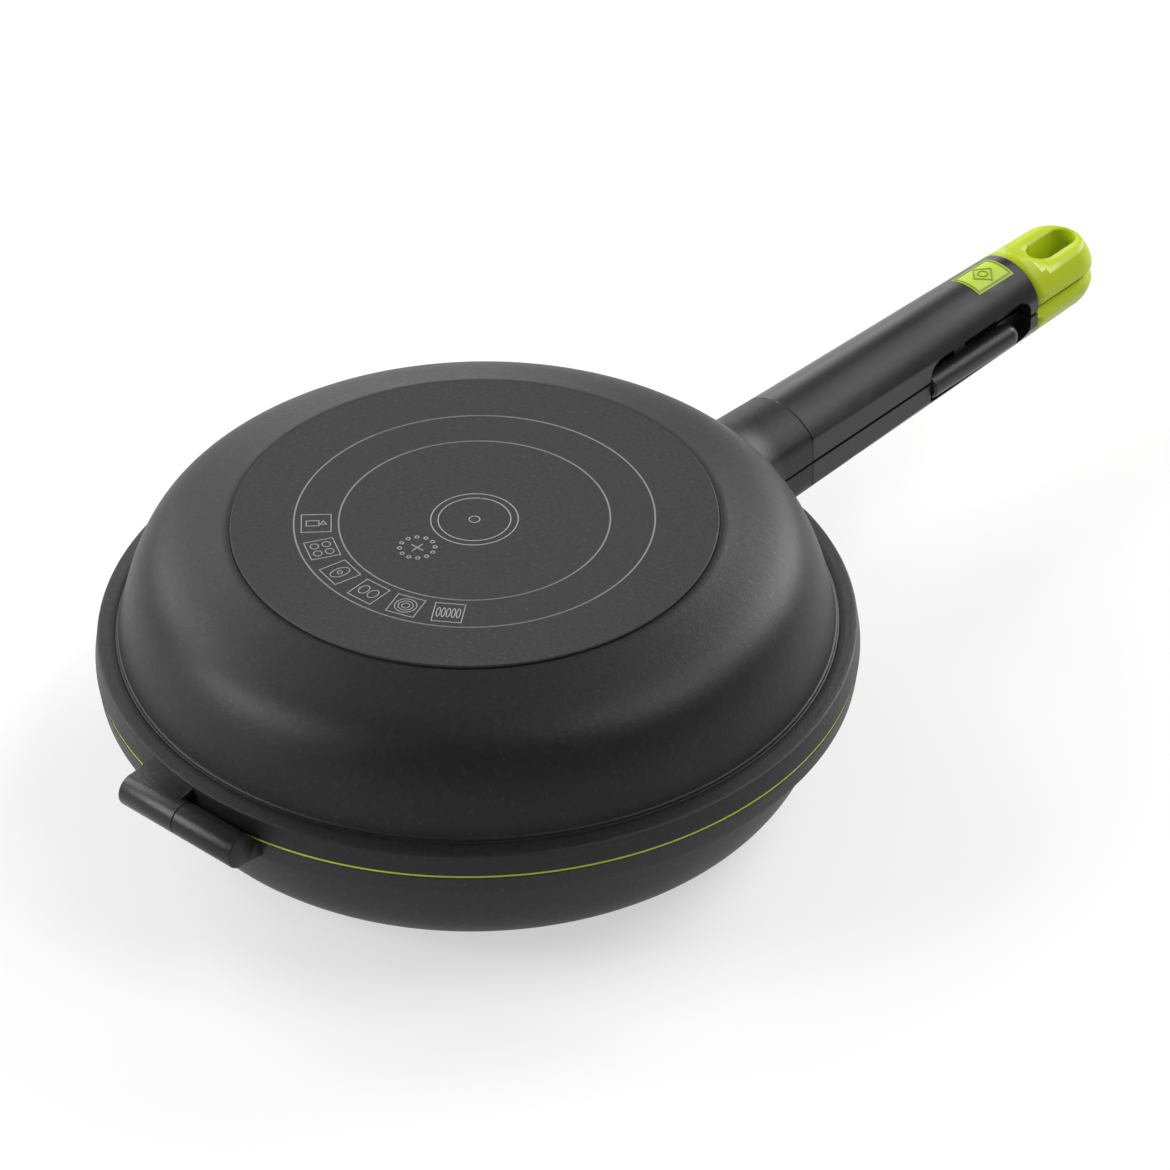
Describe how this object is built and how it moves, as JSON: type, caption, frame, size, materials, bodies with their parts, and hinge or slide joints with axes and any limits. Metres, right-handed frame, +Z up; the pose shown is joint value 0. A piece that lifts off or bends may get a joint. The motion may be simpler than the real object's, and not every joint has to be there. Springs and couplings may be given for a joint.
{
  "type": "double sided flip pan",
  "caption": "Two equal shallow round pans hinged rim to rim on a silicone seal, each with half of a round handle, a sliding latch and a hanging slot.",
  "frame": {"origin": "centre of the lower pan's flat resting face, on the surface it stands on", "axes": "+Z up through the closed pan, +Y from the middle towards the handle, X along the hinge pin with +X on the latch's side"},
  "size_m": [0.262, 0.4634, 0.1014],
  "materials": {
    "pan_coating": "cast aluminium under a dark grey, finely speckled satin non-stick coating",
    "base_coating": "steel induction plate with the same dark coating, finer speckle, thin bright engraved lines",
    "seal_silicone": "lime silicone rubber, satin",
    "grip_plastic": "moulded heat-proof plastic, satin black, fine grain",
    "latch_plastic": "moulded plastic, dark grey, semi-gloss",
    "lime_plastic": "moulded plastic, lime green, satin",
    "lime_plate": "thin moulded lime plate with a raised border",
    "steel": "plain steel, machined",
    "brass": "turned brass"
  },
  "bodies": {
    "lower_half": {"lower_pan": "pan_coating", "lower_base_plate": "base_coating", "seal_ring": "seal_silicone", "hinge_pin": "steel", "lower_grip": "grip_plastic", "lower_grip_inserts": "brass", "lower_tang_screws": "steel", "lower_inlay": "lime_plate", "lower_end_cap": "lime_plastic", "lower_cap_screw": "steel"},
    "upper_half": {"upper_pan": "pan_coating", "upper_base_plate": "base_coating", "upper_grip": "grip_plastic", "catch_plate": "steel", "upper_grip_inserts": "brass", "upper_tang_screws": "steel", "upper_inlay": "lime_plate", "upper_end_cap": "lime_plastic", "upper_cap_screw": "steel"},
    "latch": {"latch_slide": "latch_plastic"}
  },
  "joints": [
    {"name": "lid_hinge", "type": "hinge", "parent": "lower_half", "child": "upper_half", "pos_m": [0, -0.1374, 0.0507], "axis": [1, 0, 0], "range_deg": [0, 180]},
    {"name": "latch_travel", "type": "slide", "parent": "lower_half", "child": "latch", "axis": [0, 1, 0], "range_m": [0, 0.0075]}
  ]
}
